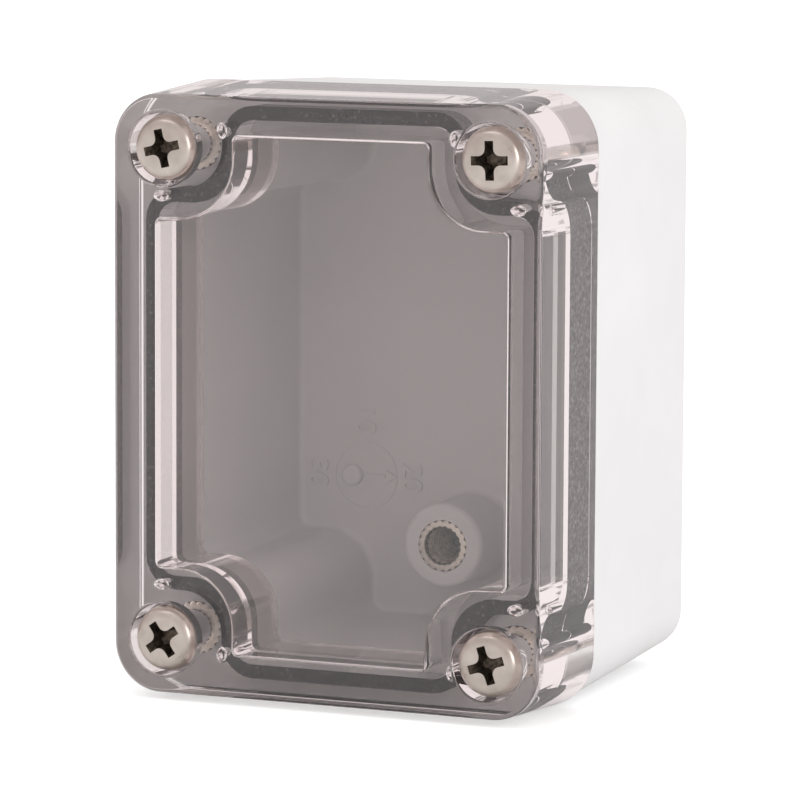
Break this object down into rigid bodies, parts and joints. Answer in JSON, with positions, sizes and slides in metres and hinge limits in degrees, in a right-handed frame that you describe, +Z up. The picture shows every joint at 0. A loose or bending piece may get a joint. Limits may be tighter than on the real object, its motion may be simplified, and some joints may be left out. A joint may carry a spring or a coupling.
{
  "type": "waterproof plastic enclosure",
  "caption": "Small rectangular waterproof plastic enclosure: a drafted light grey box with corner posts and a thick clear cover held down on a foam seal by captive pan head screws",
  "frame": {"origin": "under the middle of the outline, at the lowest edge of the clear cover", "axes": "+Z up along the height, the cover faces -Y and the flat back faces +Y, +X to the right as seen from the front"},
  "size_m": [0.05, 0.0452, 0.065],
  "materials": {
    "light_grey_abs": "fine satin moulded surface",
    "clear_polycarbonate": "clear and polished",
    "seal_foam": "dark grey closed-cell foam",
    "stainless": "satin stainless steel",
    "washer_rubber": "soft grey rubber",
    "insert_brass": "nickel-plated knurled brass"
  },
  "bodies": {
    "box": {"box": "light_grey_abs", "floor_insert": "insert_brass", "screw_insert_top_left": "insert_brass", "screw_insert_top_right": "insert_brass", "screw_insert_bottom_left": "insert_brass", "screw_insert_bottom_right": "insert_brass"},
    "cover": {"clear_cover": "clear_polycarbonate", "seal": "seal_foam"},
    "washer_top_left": {"screw_washer_top_left": "washer_rubber"},
    "screw_top_left": {"cover_screw_top_left": "stainless"},
    "washer_top_right": {"screw_washer_top_right": "washer_rubber"},
    "screw_top_right": {"cover_screw_top_right": "stainless"},
    "washer_bottom_left": {"screw_washer_bottom_left": "washer_rubber"},
    "screw_bottom_left": {"cover_screw_bottom_left": "stainless"},
    "washer_bottom_right": {"screw_washer_bottom_right": "washer_rubber"},
    "screw_bottom_right": {"cover_screw_bottom_right": "stainless"}
  },
  "joints": [
    {"name": "cover_lift", "type": "slide", "parent": "box", "child": "cover", "axis": [0, -1, 0], "range_m": [0, 0.04]},
    {"name": "screw_rise_top_left", "type": "slide", "parent": "cover", "child": "washer_top_left", "axis": [0, -1, 0], "range_m": [0, 0.0084]},
    {"name": "screw_turn_top_left", "type": "hinge", "parent": "washer_top_left", "child": "screw_top_left", "pos_m": [-0.0185, 0, 0.0585], "axis": [0, -1, 0], "range_deg": [0, 4321]},
    {"name": "screw_rise_top_right", "type": "slide", "parent": "cover", "child": "washer_top_right", "axis": [0, -1, 0], "range_m": [0, 0.0084]},
    {"name": "screw_turn_top_right", "type": "hinge", "parent": "washer_top_right", "child": "screw_top_right", "pos_m": [0.0185, 0, 0.0585], "axis": [0, -1, 0], "range_deg": [0, 4321]},
    {"name": "screw_rise_bottom_left", "type": "slide", "parent": "cover", "child": "washer_bottom_left", "axis": [0, -1, 0], "range_m": [0, 0.0084]},
    {"name": "screw_turn_bottom_left", "type": "hinge", "parent": "washer_bottom_left", "child": "screw_bottom_left", "pos_m": [-0.0185, 0, 0.0065], "axis": [0, -1, 0], "range_deg": [0, 4321]},
    {"name": "screw_rise_bottom_right", "type": "slide", "parent": "cover", "child": "washer_bottom_right", "axis": [0, -1, 0], "range_m": [0, 0.0084]},
    {"name": "screw_turn_bottom_right", "type": "hinge", "parent": "washer_bottom_right", "child": "screw_bottom_right", "pos_m": [0.0185, 0, 0.0065], "axis": [0, -1, 0], "range_deg": [0, 4321]}
  ],
  "couplings": [
    {"joint": "screw_turn_top_left", "follows": "screw_rise_top_left", "rad_per_m": 8976},
    {"joint": "screw_turn_top_right", "follows": "screw_rise_top_right", "rad_per_m": 8976},
    {"joint": "screw_turn_bottom_left", "follows": "screw_rise_bottom_left", "rad_per_m": 8976},
    {"joint": "screw_turn_bottom_right", "follows": "screw_rise_bottom_right", "rad_per_m": 8976}
  ]
}
